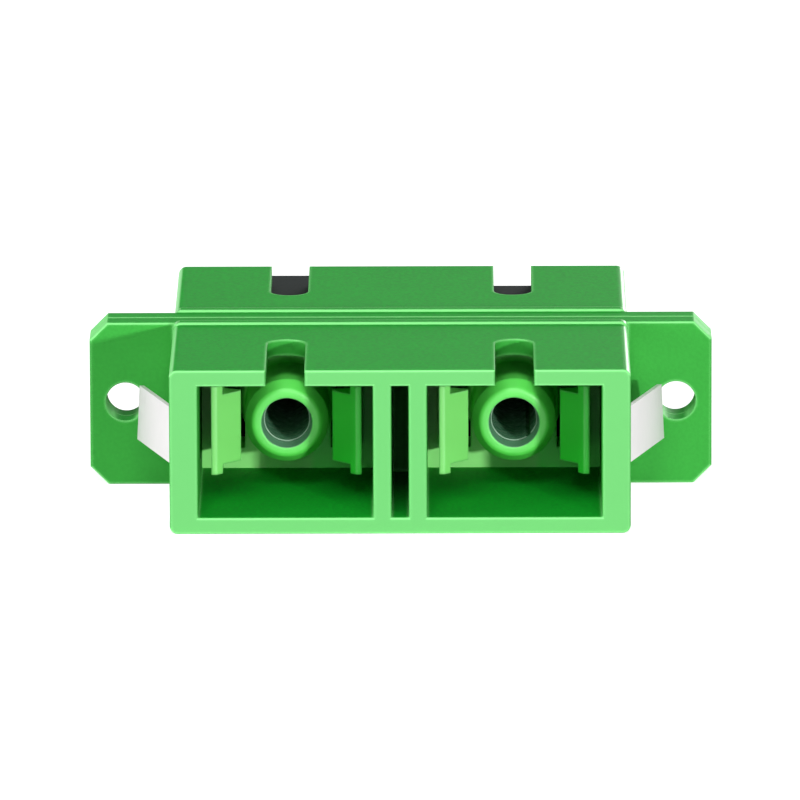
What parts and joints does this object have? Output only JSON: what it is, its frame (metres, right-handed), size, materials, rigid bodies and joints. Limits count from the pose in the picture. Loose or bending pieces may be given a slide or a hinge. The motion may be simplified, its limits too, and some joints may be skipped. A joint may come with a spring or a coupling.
{
  "type": "sc duplex fibre adapter",
  "caption": "Green duplex SC fibre adapter with a screw flange, spring mounting clip and dust caps in the rear ports.",
  "frame": {"origin": "middle of the screw pattern, on the front face of the flange", "axes": "+X to the right along the flange, +Y from the panel side to the capped rear ports, +Z the keyway side"},
  "size_m": [0.035, 0.0328, 0.0094],
  "materials": {
    "green_plastic": "moulded, finely textured",
    "zirconia": "polished zirconia ceramic",
    "spring_steel": "bright rolled stainless spring steel",
    "soft_black": "matte soft plastic"
  },
  "bodies": {
    "adapter": {"front_housing": "green_plastic", "rear_housing": "green_plastic", "left_front_latch": "green_plastic", "left_rear_latch": "green_plastic", "left_split_sleeve": "zirconia", "right_front_latch": "green_plastic", "right_rear_latch": "green_plastic", "right_split_sleeve": "zirconia", "mounting_clip": "spring_steel"},
    "left_cap": {"left_dust_cap": "soft_black"},
    "right_cap": {"right_dust_cap": "soft_black"}
  },
  "joints": [
    {"name": "left_cap_pull", "type": "slide", "parent": "adapter", "child": "left_cap", "axis": [0, 1, 0], "range_m": [-0.0029, 0.0126]},
    {"name": "right_cap_pull", "type": "slide", "parent": "adapter", "child": "right_cap", "axis": [0, 1, 0], "range_m": [0, 0.0155]}
  ]
}
